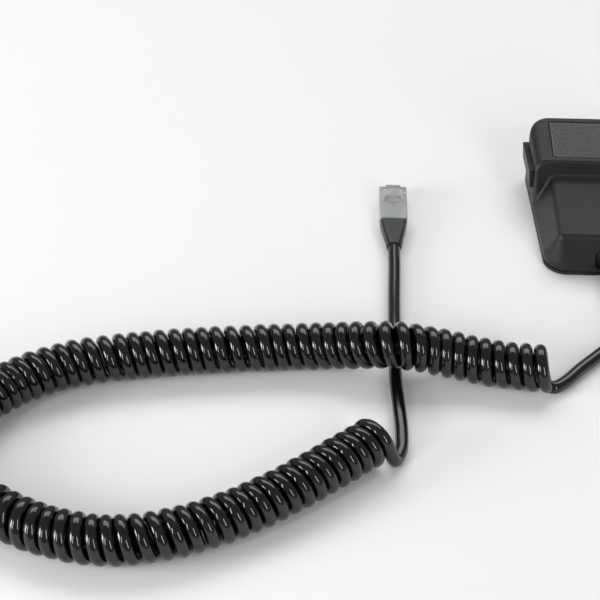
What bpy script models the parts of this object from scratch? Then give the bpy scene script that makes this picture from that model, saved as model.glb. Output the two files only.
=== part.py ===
"""Hand microphone of a desk paging station: a palm-sized push-to-talk microphone with its curly cord
and its plug."""

import math

import bmesh
import bpy
from mathutils import Vector

# Driving dimensions in metres. X runs across the microphone, +Y from its tail to its head and +Z out
# of its front. The back lies on Z = 0, and the origin is at the middle of the back.
LENGTH = 0.071
TAIL_HALF_WIDTH = 0.0287
HEAD_HALF_WIDTH = 0.0335
TAIL_RADIUS = 0.009
HEAD_RADIUS = 0.008
HEAD_NEAR_RADIUS = 0.002
WALL = 0.0022
GAP = 0.0003

BACK_THICKNESS = 0.0016
SKIRT_HEIGHT = 0.0033
FACE_HEIGHT = 0.0173
FACE_SIDE_INSET = 0.0049
FACE_FLARE = 0.0012
TAIL_SLOPE_INSET = 0.0049
FACE_EDGE_RADIUS = 0.0016

HEAD_DEPTH = 0.0248
HEAD_STEP = 0.0069
HEAD_STEP_LEAN = 0.0019
HEAD_TILT = math.radians(12.7)
HEAD_EDGE_RADIUS = 0.0045
HEAD_END_RADIUS = 0.001

GRILLE_HALF_WIDTH = 0.0243
GRILLE_LENGTH = 0.019
GRILLE_TAPER = 0.001
GRILLE_THICKNESS = 0.0007
SOUND_HALF_WIDTH = 0.017

KEY_LENGTH = 0.0214
KEY_HEIGHT = 0.0094
KEY_DROP = 0.0073
KEY_PROUD = 0.0022
KEY_DRAFT = 0.0008
KEY_TRAVEL = 0.0012
SWITCH_LENGTH = 0.012
SWITCH_DEPTH = 0.0058
PLUNGER_HALF_WIDTH = 0.0009
PLUNGER_HALF_HEIGHT = 0.0012

BOARD_LENGTH = 0.036
BOARD_THICKNESS = 0.0016
BOARD_BOTTOM = 0.0064

CAPSULE_RADIUS = 0.00485
CAPSULE_LENGTH = 0.0067
BOOT_WALL = 0.00125

CORD_RADIUS = 0.0026
CURL_RADIUS = 0.0094
RELIEF_LENGTH = 0.022
RELIEF_SHOULDER = 0.0015
LEAD_WIRE_RADIUS = 0.00045

PLUG_WIDTH = 0.0117
PLUG_LENGTH = 0.0215
PLUG_HEIGHT = 0.0066
BOOT_LENGTH = 0.016
CONTACT_COUNT = 8
CONTACT_PITCH = 0.00102
LATCH_TILT = math.radians(12)

# Hand-chosen routes of the cord on the table: from the strain relief to the curl, along the curl's
# axis with a hump where it passes over the cord, and from the curl to the plug. Each point gives X,
# the place behind the tail's end and the height of the underside.
LEAD_ROUTE = [
    (0.0000, -0.0223, 0.0049),
    (0.0003, -0.0305, 0.0034),
    (-0.0015, -0.0395, 0.0014),
    (-0.0065, -0.0470, 0.0004),
    (-0.0120, -0.0530, 0.0002),
    (-0.0198, -0.0612, 0.0001),
    (-0.0255, -0.0680, 0.0001),
    (-0.0305, -0.0723, 0.0004),
]
CURL_ROUTE = [
    (-0.0335, -0.0691, 0.0001),
    (-0.0550, -0.0663, 0.0001),
    (-0.0740, -0.0637, CORD_RADIUS),
    (-0.0920, -0.0641, 2 * CORD_RADIUS + 0.0010),
    (-0.1100, -0.0609, CORD_RADIUS + 0.0002),
    (-0.1270, -0.0591, 0.0001),
    (-0.1560, -0.0617, 0.0001),
    (-0.1890, -0.0661, 0.0001),
    (-0.2180, -0.0731, 0.0001),
    (-0.2410, -0.0870, 0.0001),
    (-0.2540, -0.1045, 0.0001),
    (-0.2565, -0.1235, 0.0001),
    (-0.2490, -0.1405, 0.0001),
    (-0.2344, -0.1519, 0.0001),
    (-0.2174, -0.1605, 0.0001),
    (-0.1950, -0.1648, 0.0001),
    (-0.1735, -0.1609, 0.0001),
    (-0.1527, -0.1515, 0.0001),
    (-0.1330, -0.1383, 0.0001),
    (-0.1136, -0.1222, 0.0001),
    (-0.1000, -0.1103, 0.0001),
]
TAIL_ROUTE = [
    (-0.0958, -0.1107, 0.0001),
    (-0.0915, -0.1075, 0.0001),
    (-0.0900, -0.0995, 0.0001),
    (-0.0908, -0.0845, 0.0001),
    (-0.0917, -0.0705, 0.0001),
    (-0.0918, -0.0545, 0.0001),
    (-0.0917, -0.0365, 0.0001),
    (-0.0915, -0.0195, 0.0001),
    (-0.0911, -0.0025, 0.0004),
    (-0.0910, 0.0112, 0.0008),
]

# Places worked out from the driving dimensions.
TAIL = -LENGTH / 2
HEAD = LENGTH / 2
SEAM = BACK_THICKNESS + GAP
SKIRT_TOP = BACK_THICKNESS + SKIRT_HEIGHT
FACE_INSIDE = FACE_HEIGHT - WALL
HEAD_NEAR = HEAD - HEAD_DEPTH
HEAD_NEAR_HEIGHT = FACE_HEIGHT + HEAD_STEP
STEP_LEAN = HEAD_STEP_LEAN / HEAD_STEP
TILT_SLOPE = math.tan(HEAD_TILT)
HEAD_MIDDLE = HEAD_NEAR + 0.47 * HEAD_DEPTH
CORD_EXIT_HEIGHT = CORD_RADIUS + LEAD_ROUTE[0][2]
KEY_START = HEAD - 0.0256
KEY_END = KEY_START + KEY_LENGTH
KEY_BOTTOM = FACE_HEIGHT - KEY_DROP
KEY_TOP = KEY_BOTTOM + KEY_HEIGHT
SWITCH_MIDDLE = (KEY_START + KEY_END) / 2 - 0.0025
BOARD_TOP = BOARD_BOTTOM + BOARD_THICKNESS
BOARD_END = SWITCH_MIDDLE + SWITCH_LENGTH / 2 + GAP
BOARD_START = BOARD_END - BOARD_LENGTH
PART_BOTTOM = BOARD_TOP + GAP
PART_ROOM = FACE_INSIDE - PART_BOTTOM
HEADER_START = BOARD_START + 0.002
CONNECTOR_PROUD = 0.002
HEADER_HEIGHT = 0.68 * PART_ROOM
SWITCH_HEIGHT = PART_ROOM - GAP
PLUG_MIDDLE = TAIL_ROUTE[-1][0]
PLUG_BOTTOM = 0.0001
PLUG_AXIS_HEIGHT = PLUG_BOTTOM + PLUG_HEIGHT / 2

SMALL_SCREW = {"head": 0.0018, "head_height": 0.001, "shank": 0.0009}
SHELL_SCREW = {"head": 0.0024, "head_height": 0.0014, "shank": 0.0012}
POST_WALL = 0.0015
SCREW_PAD_RADIUS = 0.0036
SCREW_PAD_TOP = BACK_THICKNESS + 0.0022
SCREW_RECESS_FLOOR = 0.0004
LIP_HEIGHT = 0.002
LIP_WALL = 0.0012
SKIN_DRAW_IN = 0.00015
SAFE_MERGE = 0.00001


def clear_scene():
    for thing in list(bpy.data.objects):
        bpy.data.objects.remove(thing, do_unlink=True)


def new_collection(name):
    collection = bpy.data.collections.new(name)
    bpy.context.scene.collection.children.link(collection)
    return collection


def new_material(name, colour, roughness, metallic=0.0):
    material = bpy.data.materials.new(name)
    material.use_nodes = True
    shader = material.node_tree.nodes["Principled BSDF"]
    shader.inputs["Base Color"].default_value = (*colour, 1.0)
    shader.inputs["Roughness"].default_value = roughness
    shader.inputs["Metallic"].default_value = metallic
    return material


clear_scene()
PARTS = new_collection("hand_microphone")
CUTTERS = new_collection("cutters")
CUTTERS.hide_render = True


# Building blocks ------------------------------------------------------------------------------


def add_object(name, data, material=None, parent=None):
    """A sub-part when it has a material, and otherwise a hidden solid that cuts or joins one."""
    thing = bpy.data.objects.new(name, data)
    if material:
        data.materials.append(material)
        PARTS.objects.link(thing)
    else:
        CUTTERS.objects.link(thing)
        thing.hide_render = True
        thing.display_type = "WIRE"
    thing.parent = parent
    return thing


def show(thing, material):
    """Makes a hidden solid into a sub-part."""
    CUTTERS.objects.unlink(thing)
    PARTS.objects.link(thing)
    thing.hide_render = False
    thing.display_type = "TEXTURED"
    thing.data.materials.append(material)


def finish_mesh(builder, name, smooth_angle=40.0):
    bmesh.ops.recalc_face_normals(builder, faces=builder.faces)
    mesh = bpy.data.meshes.new(name)
    builder.to_mesh(mesh)
    builder.free()
    mesh.shade_smooth()
    mesh.set_sharp_from_angle(angle=math.radians(smooth_angle))
    return mesh


def bevel(thing, width, segments=2):
    modifier = thing.modifiers.new("rounded edges", "BEVEL")
    modifier.width = width
    modifier.segments = segments
    modifier.limit_method = "ANGLE"
    return thing


def boolean(thing, operand, operation):
    modifier = thing.modifiers.new(operand.name, "BOOLEAN")
    modifier.operation = operation
    modifier.solver = "EXACT"
    modifier.object = operand


def cut(thing, *cutters):
    for cutter in cutters:
        boolean(thing, cutter, "DIFFERENCE")


def join(thing, *pieces):
    for piece in pieces:
        boolean(thing, piece, "UNION")


def box(name, low, high, material=None, parent=None, edge=0.0):
    """A box between two opposite corners, placed by its centre."""
    low, high = Vector(low), Vector(high)
    builder = bmesh.new()
    bmesh.ops.create_cube(builder, size=1.0)
    bmesh.ops.scale(builder, vec=high - low, verts=builder.verts)
    thing = add_object(name, finish_mesh(builder, name), material, parent)
    thing.location = (low + high) / 2
    if edge:
        bevel(thing, edge)
    return thing


def turned(name, profile, material=None, parent=None, steps=20):
    """A solid turned about its own Z axis. The profile lists (radius, z) down the outer side, and it
    closes on itself when it doesn't begin and end on the axis."""
    mesh = bpy.data.meshes.new(name)
    edges = [(i, i + 1) for i in range(len(profile) - 1)]
    if profile[0][0] > 0:
        edges.append((len(profile) - 1, 0))
    mesh.from_pydata([(radius, 0.0, z) for radius, z in profile], edges, [])
    thing = add_object(name, mesh, material, parent)
    screw = thing.modifiers.new("turn", "SCREW")
    screw.axis = "Z"
    screw.angle = math.tau
    screw.steps = steps
    screw.render_steps = steps
    screw.use_merge_vertices = True
    screw.merge_threshold = SAFE_MERGE
    screw.use_smooth_shade = True
    return thing


def rod(name, radius, low, high, place, material=None, parent=None, steps=20):
    """A cylinder along Z between two heights."""
    thing = turned(name, [(0.0, high), (radius, high), (radius, low), (0.0, low)], material, parent, steps)
    thing.location = (*place, 0.0)
    return thing


def rounded_outline(corners, radii, steps=6):
    """The points round a convex polygon, anticlockwise, with an arc at each corner."""
    points = []
    count = len(corners)
    for i, (corner, radius) in enumerate(zip(corners, radii)):
        corner = Vector(corner)
        before = (Vector(corners[i - 1]) - corner).normalized()
        after = (Vector(corners[(i + 1) % count]) - corner).normalized()
        half_angle = before.angle(after) / 2
        centre = corner + (before + after).normalized() * radius / math.sin(half_angle)
        start = corner + before * radius / math.tan(half_angle) - centre
        sweep = math.pi - 2 * half_angle
        for step in range(steps + 1):
            angle = sweep * step / steps
            turn = (math.cos(angle), math.sin(angle))
            points.append(
                (
                    centre.x + start.x * turn[0] - start.y * turn[1],
                    centre.y + start.x * turn[1] + start.y * turn[0],
                )
            )
    return points


def tapered_outline(near, far, near_half_width, far_half_width, near_radius, far_radius, steps=6):
    """A symmetric outline whose half-width changes evenly from its near end to its far end."""
    corners = [
        (-near_half_width, near),
        (near_half_width, near),
        (far_half_width, far),
        (-far_half_width, far),
    ]
    return rounded_outline(corners, [near_radius, near_radius, far_radius, far_radius], steps)


def loft(name, rings, material=None, parent=None):
    """A closed solid through rings of equally many points, bottom ring first, with flat ends."""
    builder = bmesh.new()
    rows = [[builder.verts.new(point) for point in ring] for ring in rings]
    for lower, upper in zip(rows, rows[1:]):
        for i in range(len(lower)):
            builder.faces.new((lower[i - 1], lower[i], upper[i], upper[i - 1]))
    builder.faces.new(reversed(rows[0]))
    builder.faces.new(rows[-1])
    return add_object(name, finish_mesh(builder, name), material, parent)


def plate(name, outline, low, high, material=None, parent=None, edge=0.0):
    """A flat outline given thickness between two heights."""
    curve = bpy.data.curves.new(name, "CURVE")
    curve.dimensions = "2D"
    curve.fill_mode = "BOTH"
    curve.extrude = (high - low) / 2
    spline = curve.splines.new("POLY")
    spline.points.add(len(outline) - 1)
    for point, (x, y) in zip(spline.points, outline):
        point.co = (x, y, 0.0, 1.0)
    spline.use_cyclic_u = True
    thing = mesh_from_curve(name, curve, material, parent)
    thing.location = (0.0, 0.0, (low + high) / 2)
    if edge:
        bevel(thing, edge)
    return thing


def mesh_from_curve(name, curve, material, parent):
    """The curve's own solid as a mesh with its caps welded on."""
    guide = bpy.data.objects.new(name + "_outline", curve)
    CUTTERS.objects.link(guide)
    evaluated = guide.evaluated_get(bpy.context.evaluated_depsgraph_get())
    mesh = bpy.data.meshes.new_from_object(evaluated)
    bpy.data.objects.remove(guide, do_unlink=True)
    builder = bmesh.new()
    builder.from_mesh(mesh)
    bmesh.ops.remove_doubles(builder, verts=builder.verts, dist=SAFE_MERGE)
    bmesh.ops.dissolve_limit(builder, angle_limit=math.radians(1), verts=builder.verts, edges=builder.edges)
    bpy.data.meshes.remove(mesh)
    return add_object(name, finish_mesh(builder, name), material, parent)


def smooth_route(route, spacing):
    """Points evenly spaced along a smooth curve through the route's own points."""
    route = [Vector(point) for point in route]
    ends = [2 * route[0] - route[1]], [2 * route[-1] - route[-2]]
    knots = ends[0] + route + ends[1]
    fine = []
    pieces = 24
    for a, b, c, d in zip(knots, knots[1:], knots[2:], knots[3:]):
        for step in range(pieces):
            t = step / pieces
            slope_in, slope_out = (c - a) / 2, (d - b) / 2
            fine.append(
                (2 * t**3 - 3 * t**2 + 1) * b
                + (t**3 - 2 * t**2 + t) * slope_in
                + (3 * t**2 - 2 * t**3) * c
                + (t**3 - t**2) * slope_out
            )
    fine.append(route[-1])
    lengths = [0.0]
    for a, b in zip(fine, fine[1:]):
        lengths.append(lengths[-1] + (b - a).length)
    count = max(2, round(lengths[-1] / spacing))
    points = []
    at = 0
    for step in range(count + 1):
        target = lengths[-1] * step / count
        while at < len(lengths) - 2 and lengths[at + 1] < target:
            at += 1
        share = (target - lengths[at]) / (lengths[at + 1] - lengths[at])
        points.append(fine[at].lerp(fine[at + 1], share))
    return points


def tube(name, route, radius, spacing, material, resolution=2):
    """A round cord or wire along a route."""
    points = smooth_route(route, spacing)
    curve = bpy.data.curves.new(name, "CURVE")
    curve.dimensions = "3D"
    curve.bevel_depth = radius
    curve.bevel_resolution = resolution
    curve.use_fill_caps = True
    spline = curve.splines.new("POLY")
    spline.points.add(len(points) - 1)
    for point, place in zip(spline.points, points):
        point.co = (*place, 1.0)
    return add_object(name, curve, material)


def screw(name, place, head_bottom, length, size, parent=None):
    """A screw pointing along +Z with its head below its shank."""
    shoulder = head_bottom + size["head_height"]
    chamfer = 0.15 * size["head"]
    profile = [
        (0.0, shoulder + length),
        (0.7 * size["shank"], shoulder + length),
        (size["shank"], shoulder + length - 0.0006),
        (size["shank"], shoulder),
        (size["head"], shoulder),
        (size["head"], head_bottom + chamfer),
        (size["head"] - chamfer, head_bottom),
        (0.0, head_bottom),
    ]
    thing = turned(name, profile, SCREW_STEEL, parent, 16)
    thing.location = (*place, 0.0)
    return thing


def screw_post(name, place, bottom, top, hole_depth, size, parent=None):
    """A moulded post with a blind screw hole open at its bottom."""
    hole = size["shank"] + GAP
    radius = hole + POST_WALL
    profile = [
        (0.0, top),
        (radius, top),
        (radius, bottom),
        (hole, bottom),
        (hole, bottom + hole_depth),
        (0.0, bottom + hole_depth),
    ]
    thing = turned(name, profile, None, parent, 16)
    thing.location = (*place, 0.0)
    return thing


# Materials ------------------------------------------------------------------------------------

SHELL_BLACK = new_material("shell_black", (0.030, 0.030, 0.032), 0.55)
BACK_BLACK = new_material("back_black", (0.026, 0.026, 0.028), 0.6)
KEY_BLACK = new_material("key_black", (0.028, 0.028, 0.030), 0.45)
GRILLE_BLACK = new_material("grille_black", (0.045, 0.045, 0.047), 0.5, 0.2)
CLOTH_BLACK = new_material("cloth_black", (0.012, 0.012, 0.012), 0.95)
BOOT_RUBBER = new_material("boot_rubber", (0.020, 0.020, 0.021), 0.8)
CAPSULE_METAL = new_material("capsule_metal", (0.72, 0.72, 0.70), 0.3, 1.0)
BRACKET_STEEL = new_material("bracket_steel", (0.60, 0.60, 0.61), 0.35, 1.0)
SCREW_STEEL = new_material("screw_steel", (0.45, 0.45, 0.46), 0.35, 1.0)
SWITCH_BLACK = new_material("switch_black", (0.035, 0.035, 0.036), 0.4)
PLUNGER_RED = new_material("plunger_red", (0.55, 0.05, 0.04), 0.45)
BOARD_GREEN = new_material("board_green", (0.02, 0.16, 0.07), 0.4)
CHIP_BLACK = new_material("chip_black", (0.02, 0.02, 0.02), 0.5)
CAPACITOR_BLUE = new_material("capacitor_blue", (0.03, 0.05, 0.20), 0.35)
HEADER_WHITE = new_material("header_white", (0.80, 0.78, 0.72), 0.5)
CLAMP_BLACK = new_material("clamp_black", (0.03, 0.03, 0.03), 0.5)
RELIEF_RUBBER = new_material("relief_rubber", (0.018, 0.018, 0.019), 0.6)
CORD_BLACK = new_material("cord_black", (0.010, 0.010, 0.011), 0.15)
LEAD_COLOURS = [
    new_material("lead_red", (0.60, 0.04, 0.03), 0.4),
    new_material("lead_white", (0.80, 0.80, 0.78), 0.4),
    new_material("lead_green", (0.03, 0.30, 0.08), 0.4),
    new_material("lead_black", (0.02, 0.02, 0.02), 0.4),
]
PLUG_CLEAR = new_material("plug_clear", (0.78, 0.80, 0.80), 0.15)
CONTACT_GOLD = new_material("contact_gold", (0.83, 0.62, 0.25), 0.25, 1.0)


# Shared shapes of the housing -----------------------------------------------------------------


def half_width(y):
    """Half-width of the seam outline at a place along the microphone."""
    share = (y - TAIL) / LENGTH
    return TAIL_HALF_WIDTH + (HEAD_HALF_WIDTH - TAIL_HALF_WIDTH) * share


def seam_ring(height, inset):
    """The outline that both shells share at the seam, drawn in by an inset."""
    outline = tapered_outline(
        TAIL + inset,
        HEAD - inset,
        half_width(TAIL) - inset,
        half_width(HEAD) - inset,
        TAIL_RADIUS - inset,
        HEAD_RADIUS - inset,
    )
    return [(x, y, height) for x, y in outline]


def slope_ring(height, share, inset):
    """A level outline of the sloping body: share 0 is the skirt's top and share 1 the lower face."""
    near_slope = share * FACE_SIDE_INSET
    far_slope = share * (HEAD_HALF_WIDTH - TAIL_HALF_WIDTH + FACE_SIDE_INSET - FACE_FLARE)
    outline = tapered_outline(
        TAIL + share * TAIL_SLOPE_INSET + inset,
        HEAD - share * HEAD_DEPTH / 2 - inset,
        half_width(TAIL) - near_slope - inset,
        half_width(HEAD) - far_slope - inset,
        TAIL_RADIUS * (1 - share) + FACE_EDGE_RADIUS * share,
        HEAD_RADIUS * (1 - share) + FACE_EDGE_RADIUS * share,
    )
    return [(x, y, height) for x, y in outline]


def body_block(name, wall, low):
    """The body under the lower face, or its hollow when a wall thickness is given."""
    top = FACE_HEIGHT - wall
    round_radius = max(FACE_EDGE_RADIUS - wall, 0.0004)
    rings = [seam_ring(low, wall), seam_ring(SKIRT_TOP, wall)]
    share = (top - round_radius - SKIRT_TOP) / (FACE_HEIGHT - SKIRT_TOP)
    rings.append(slope_ring(top - round_radius, share, wall))
    for step in (1, 2):
        angle = math.radians(45 * step)
        inset = wall + round_radius * (1 - math.cos(angle))
        rings.append(slope_ring(top - round_radius * (1 - math.sin(angle)), share, inset))
    return loft(name, rings)


def head_ring(drop, side_inset, end_inset):
    """A ring round the head, a drop below its tilted face."""
    near = HEAD_NEAR - STEP_LEAN * drop / (1 - STEP_LEAN * TILT_SLOPE) + end_inset
    far = HEAD - end_inset
    outline = tapered_outline(
        near,
        far,
        half_width(near) - side_inset,
        half_width(far) - side_inset,
        HEAD_NEAR_RADIUS,
        HEAD_RADIUS - side_inset,
    )
    return [(x, y, HEAD_NEAR_HEIGHT + (y - HEAD_NEAR) * TILT_SLOPE - drop) for x, y in outline]


def head_block(name, wall, low):
    """The raised head, or its hollow when a wall thickness is given."""
    side = max(HEAD_EDGE_RADIUS - wall, 0.0006)
    end = max(HEAD_END_RADIUS - wall, 0.0003)
    skin = wall + SKIN_DRAW_IN
    foot_near = HEAD_NEAR - STEP_LEAN * (HEAD_NEAR_HEIGHT - low) + skin
    foot = tapered_outline(
        foot_near,
        HEAD - skin,
        half_width(foot_near) - skin,
        half_width(HEAD) - skin,
        HEAD_NEAR_RADIUS,
        HEAD_RADIUS - skin,
    )
    rings = [[(x, y, low) for x, y in foot]]
    for step in range(5):
        angle = math.radians(22.5 * step)
        rings.append(
            head_ring(
                wall + side * (1 - math.sin(angle)),
                skin + side * (1 - math.cos(angle)),
                skin + end * (1 - math.cos(angle)),
            )
        )
    return loft(name, rings)


def add_head_frame():
    """An empty on the head's face: its X and Y lie in the face and its Z points out of it."""
    frame = bpy.data.objects.new("head_frame", None)
    PARTS.objects.link(frame)
    frame.location = (0.0, HEAD_MIDDLE, HEAD_NEAR_HEIGHT + (HEAD_MIDDLE - HEAD_NEAR) * TILT_SLOPE)
    frame.rotation_euler.x = HEAD_TILT
    return frame


HEAD_FRAME = add_head_frame()

GRILLE_MIDDLE = 0.0005
REBATE_DEPTH = GRILLE_THICKNESS + GAP + 0.0002
LIP_INSET = WALL + GAP
HEAD_SCREW_PLACE = HEAD - LIP_INSET - LIP_WALL - GAP - SCREW_PAD_RADIUS
SHELL_SCREW_PLACES = [
    (side * 0.66 * TAIL_HALF_WIDTH, TAIL + TAIL_RADIUS) for side in (-1, 1)
] + [
    (side * (HEAD_HALF_WIDTH - 1.2 * HEAD_RADIUS), HEAD_SCREW_PLACE) for side in (-1, 1)
]
CLAMP_HALF_SPAN = CORD_RADIUS + 0.0044
CLAMP_MIDDLE = TAIL + 0.0135
CLAMP_SCREW_PLACES = [(side * CLAMP_HALF_SPAN, CLAMP_MIDDLE) for side in (-1, 1)]
CLAMP_TOP = CORD_EXIT_HEIGHT - CORD_RADIUS - GAP
CLAMP_THICKNESS = 0.0012
CLAMP_HALF_DEPTH = 0.0026
INNER_CORD_END = CLAMP_MIDDLE + 0.0045
BOARD_HALF_WIDTH = half_width(BOARD_START) - WALL - 0.0037
BOARD_SCREW_PLACES = [
    (side * 0.74 * BOARD_HALF_WIDTH, y)
    for y in (BOARD_START + 0.004, BOARD_START + 0.0195)
    for side in (-1, 1)
]
BRACKET_HALF_SPAN = SOUND_HALF_WIDTH + 0.0048
BRACKET_TOP = -WALL - 0.0055
BRACKET_THICKNESS = 0.0012
BRACKET_SCREW_PLACES = [(side * BRACKET_HALF_SPAN, -0.0040) for side in (-1, 1)]
BRACKET_EAR_HALF_DEPTH = 0.0027
CAPSULE_TOP = -WALL - 0.0008
CAPSULE_BOTTOM = CAPSULE_TOP - CAPSULE_LENGTH
KEY_INSIDE = -(half_width(HEAD_NEAR) - WALL - 0.0014)
KEY_LIP_INSIDE = KEY_INSIDE + 0.0009
EXIT_HALF_WIDTH = 0.0085
EXIT_DEPTH = 0.0026
EXIT_BLOCK = 0.007
EXIT_HALF_HEIGHT = CORD_RADIUS + 0.0016
EXIT_BLOCK_TOP = CORD_EXIT_HEIGHT + CORD_RADIUS + 0.0029
RELIEF_NECK_RADIUS = CORD_RADIUS + 0.0012
RELIEF_ROOT_RADIUS = CORD_RADIUS + 0.0014
RELIEF_FLANGE_RADIUS = CORD_RADIUS + 0.002
KEY_LIP_HEIGHT = 0.0012


def grille_outline(inset):
    half_length = GRILLE_LENGTH / 2
    return tapered_outline(
        GRILLE_MIDDLE - half_length + inset,
        GRILLE_MIDDLE + half_length - inset,
        GRILLE_HALF_WIDTH - GRILLE_TAPER / 2 - inset,
        GRILLE_HALF_WIDTH + GRILLE_TAPER / 2 - inset,
        0.001,
        0.0006,
        3,
    )


def sound_outline(inset):
    half_length = GRILLE_LENGTH / 2 - 0.002
    return tapered_outline(
        GRILLE_MIDDLE - half_length + inset,
        GRILLE_MIDDLE + half_length - inset,
        SOUND_HALF_WIDTH - inset,
        SOUND_HALF_WIDTH - inset,
        0.001,
        0.001,
        3,
    )


# Sub-parts ------------------------------------------------------------------------------------


def add_front_shell():
    shell = body_block("front_shell", 0.0, SEAM)
    show(shell, SHELL_BLACK)
    join(shell, head_block("head_outside", 0.0, SEAM + 0.001))
    cut(shell, body_block("body_hollow", WALL, -0.001), head_block("head_hollow", WALL, -0.002))

    exit_rings = []
    for height in (SEAM, SKIRT_TOP, EXIT_BLOCK_TOP):
        slope = TAIL_SLOPE_INSET * (height - SKIRT_TOP) / (FACE_HEIGHT - SKIRT_TOP)
        near = TAIL + WALL / 2 + max(slope, 0.0)
        side = EXIT_HALF_WIDTH + WALL
        far = TAIL + EXIT_BLOCK
        corners = [(-side, near), (side, near), (side, far), (-side, far)]
        exit_rings.append([(x, y, height) for x, y in corners])
    exit_block = loft("exit_block", exit_rings)
    exit_pocket = box(
        "exit_pocket",
        (-EXIT_HALF_WIDTH, TAIL - 0.005, CORD_EXIT_HEIGHT - EXIT_HALF_HEIGHT),
        (EXIT_HALF_WIDTH, TAIL + EXIT_DEPTH, CORD_EXIT_HEIGHT + EXIT_HALF_HEIGHT),
    )
    bevel(exit_pocket, 0.0026, 4)
    exit_bore = rod("exit_bore", RELIEF_NECK_RADIUS + GAP, -0.010, 0.010, (0.0, 0.0))
    exit_bore.rotation_euler.x = math.radians(90)
    exit_bore.location = (0.0, TAIL + 0.005, CORD_EXIT_HEIGHT)
    join(shell, exit_block)
    cut(shell, exit_pocket, exit_bore)

    post_bottom = SCREW_PAD_TOP + GAP
    for i, place in enumerate(SHELL_SCREW_PLACES):
        roof = FACE_INSIDE
        if place[1] > 0:
            roof = HEAD_NEAR_HEIGHT + (place[1] - HEAD_NEAR) * TILT_SLOPE - WALL
        post_top = roof + WALL / 2
        join(shell, screw_post(f"shell_post_{i + 1}", place, post_bottom, post_top, 0.007, SHELL_SCREW))
    ceiling = FACE_INSIDE + WALL / 2
    for i, place in enumerate(CLAMP_SCREW_PLACES):
        join(shell, screw_post(f"clamp_post_{i + 1}", place, CLAMP_TOP + GAP, ceiling, 0.005, SMALL_SCREW))
    for i, place in enumerate(BOARD_SCREW_PLACES):
        join(shell, screw_post(f"board_post_{i + 1}", place, PART_BOTTOM, ceiling, 0.005, SMALL_SCREW))
    for i, place in enumerate(BRACKET_SCREW_PLACES):
        name = f"bracket_post_{i + 1}"
        join(shell, screw_post(name, place, BRACKET_TOP + GAP, -WALL / 2, 0.004, SMALL_SCREW, HEAD_FRAME))

    rebate = plate("grille_rebate", grille_outline(-GAP), -REBATE_DEPTH, 0.004, None, HEAD_FRAME)
    opening = plate("sound_opening", sound_outline(0.0), -2.5 * WALL, 0.002, None, HEAD_FRAME)
    window = box(
        "key_window",
        (-HEAD_HALF_WIDTH - 0.004, KEY_START - GAP, KEY_BOTTOM - GAP),
        (KEY_INSIDE + KEY_TRAVEL + GAP, KEY_END + GAP, KEY_TOP + GAP),
    )
    cut(shell, rebate, opening, window)
    return shell


def add_back_shell():
    """The shallow back: a flat floor with a lip inside the front shell and pads for the screws."""
    floor = [
        seam_ring(0.0, 0.0006),
        seam_ring(0.0004, 0.0),
        seam_ring(BACK_THICKNESS, 0.0),
    ]
    shell = loft("back_shell", floor, None)
    show(shell, BACK_BLACK)
    lip_top = BACK_THICKNESS + LIP_HEIGHT
    lip = loft("lip", [seam_ring(BACK_THICKNESS / 2, LIP_INSET), seam_ring(lip_top, LIP_INSET)])
    hollow_inset = LIP_INSET + LIP_WALL
    lip_hollow = loft(
        "lip_hollow",
        [seam_ring(0.0, hollow_inset), seam_ring(lip_top + LIP_HEIGHT, hollow_inset)],
    )
    notch_side = EXIT_HALF_WIDTH + WALL + GAP
    lip_notch = box(
        "lip_notch",
        (-notch_side, TAIL, 0.0),
        (notch_side, TAIL + EXIT_BLOCK + GAP, lip_top + LIP_HEIGHT),
    )
    cut(lip, lip_hollow, lip_notch)
    join(shell, lip)
    for i, place in enumerate(SHELL_SCREW_PLACES):
        join(shell, rod(f"screw_pad_{i + 1}", SCREW_PAD_RADIUS, BACK_THICKNESS / 2, SCREW_PAD_TOP, place))
    for i, place in enumerate(SHELL_SCREW_PLACES):
        hole_radius = SHELL_SCREW["shank"] + GAP
        recess_radius = SHELL_SCREW["head"] + GAP
        recess_top = SCREW_RECESS_FLOOR + SHELL_SCREW["head_height"] + GAP
        profile = [
            (0.0, 2 * SCREW_PAD_TOP),
            (hole_radius, 2 * SCREW_PAD_TOP),
            (hole_radius, recess_top),
            (recess_radius, recess_top),
            (recess_radius, -0.001),
            (0.0, -0.001),
        ]
        hole = turned(f"screw_hole_{i + 1}", profile)
        hole.location = (*place, 0.0)
        cut(shell, hole)
    return shell


def add_grille():
    bottom = GAP - REBATE_DEPTH
    top = bottom + GRILLE_THICKNESS
    grille = plate("grille", grille_outline(0.0), bottom, top, GRILLE_BLACK, HEAD_FRAME)
    under = -REBATE_DEPTH - 0.0005
    cloth = plate("grille_cloth", sound_outline(GAP), under, -REBATE_DEPTH, CLOTH_BLACK, HEAD_FRAME)
    return grille, cloth


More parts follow.
